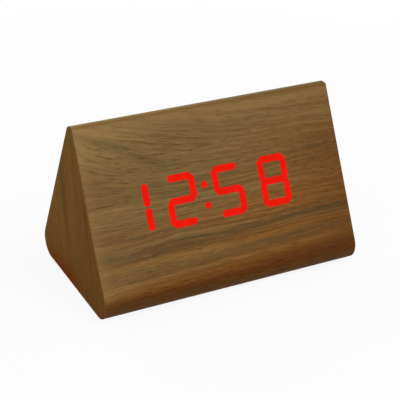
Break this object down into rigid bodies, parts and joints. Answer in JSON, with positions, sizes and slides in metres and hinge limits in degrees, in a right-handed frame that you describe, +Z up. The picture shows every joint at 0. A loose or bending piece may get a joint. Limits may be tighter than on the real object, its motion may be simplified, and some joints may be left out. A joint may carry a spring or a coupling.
{
  "type": "led desk clock",
  "caption": "Triangular wooden desk clock with red LED figures showing through the sloping front skin and keys, power inlet and battery lid at the rear.",
  "frame": {"origin": "centre of the underside, on the table", "axes": "+X along the length, to the right as seen from the front; +Y towards the rear; +Z up. The display looks towards -Y and up."},
  "size_m": [0.125, 0.0714, 0.077],
  "materials": {
    "walnut_veneer": "satin wood-grain skin, grain along the length",
    "walnut_end_veneer": "satin wood-grain skin, grain upright",
    "fibreboard": "raw fibreboard",
    "red_glow": "lit red",
    "red_guide": "clear red, lit",
    "dark_guide": "clear red, off",
    "led_body": "clear resin",
    "circuit_board": "green solder mask",
    "chip_plastic": "moulded",
    "black_plastic": "fine texture",
    "key_plastic": "smooth",
    "white_plastic": "moulded",
    "socket_plastic": "moulded",
    "capacitor_can": "drawn can",
    "steel": "plated",
    "black_steel": "blackened",
    "brass": "plain",
    "cell_label": "printed film over the can",
    "red_wire": "insulation",
    "black_wire": "insulation",
    "grey_cable": "insulation"
  },
  "bodies": {
    "clock": {"case_shell": "fibreboard", "left_end_board": "fibreboard", "right_end_board": "fibreboard", "veneer_wrap": "walnut_veneer", "base_veneer": "walnut_veneer", "left_end_veneer": "walnut_end_veneer", "right_end_veneer": "walnut_end_veneer", "glow_windows": "red_glow", "display_housing": "black_plastic", "lit_light_guides": "red_guide", "dark_light_guides": "dark_guide", "segment_leds": "led_body", "main_board": "circuit_board", "board_spacers": "black_plastic", "board_screws": "steel", "driver_chip": "chip_plastic", "clock_chip": "chip_plastic", "crystal": "steel", "buzzer": "black_plastic", "capacitors": "capacitor_can", "display_connector": "white_plastic", "control_connector": "white_plastic", "ribbon_cable": "grey_cable", "rear_panel": "black_plastic", "panel_screws": "black_steel", "battery_tray": "black_plastic", "positive_terminal": "steel", "negative_terminal": "steel", "right_link_contact": "steel", "left_link_contact": "steel", "battery_1": "cell_label", "battery_2": "cell_label", "battery_3": "cell_label", "positive_lead": "red_wire", "negative_lead": "black_wire", "control_board": "circuit_board", "control_screws": "steel", "key_switches": "chip_plastic", "dc_socket": "socket_plastic", "dc_socket_pin": "brass", "microphone": "capacitor_can"},
    "battery_door": {"battery_door": "black_plastic"},
    "set_key": {"set_button": "key_plastic", "set_plunger": "chip_plastic"},
    "down_key": {"down_button": "key_plastic", "down_plunger": "chip_plastic"},
    "up_key": {"up_button": "key_plastic", "up_plunger": "chip_plastic"}
  },
  "joints": [
    {"name": "battery_door_hinge", "type": "hinge", "parent": "clock", "child": "battery_door", "pos_m": [0.012, 0.02995, 0.0176], "axis": [-1, 0, 0], "range_deg": [0, 90]},
    {"name": "set_key_press", "type": "slide", "parent": "clock", "child": "set_key", "axis": [0, -0.8901, -0.4557], "range_m": [0, 0.0005], "stiffness_N_per_m": 1600, "springref_m": -0.0005},
    {"name": "down_key_press", "type": "slide", "parent": "clock", "child": "down_key", "axis": [0, -0.8901, -0.4557], "range_m": [0, 0.0005], "stiffness_N_per_m": 1600, "springref_m": -0.0005},
    {"name": "up_key_press", "type": "slide", "parent": "clock", "child": "up_key", "axis": [0, -0.8901, -0.4557], "range_m": [0, 0.0005], "stiffness_N_per_m": 1600, "springref_m": -0.0005}
  ]
}
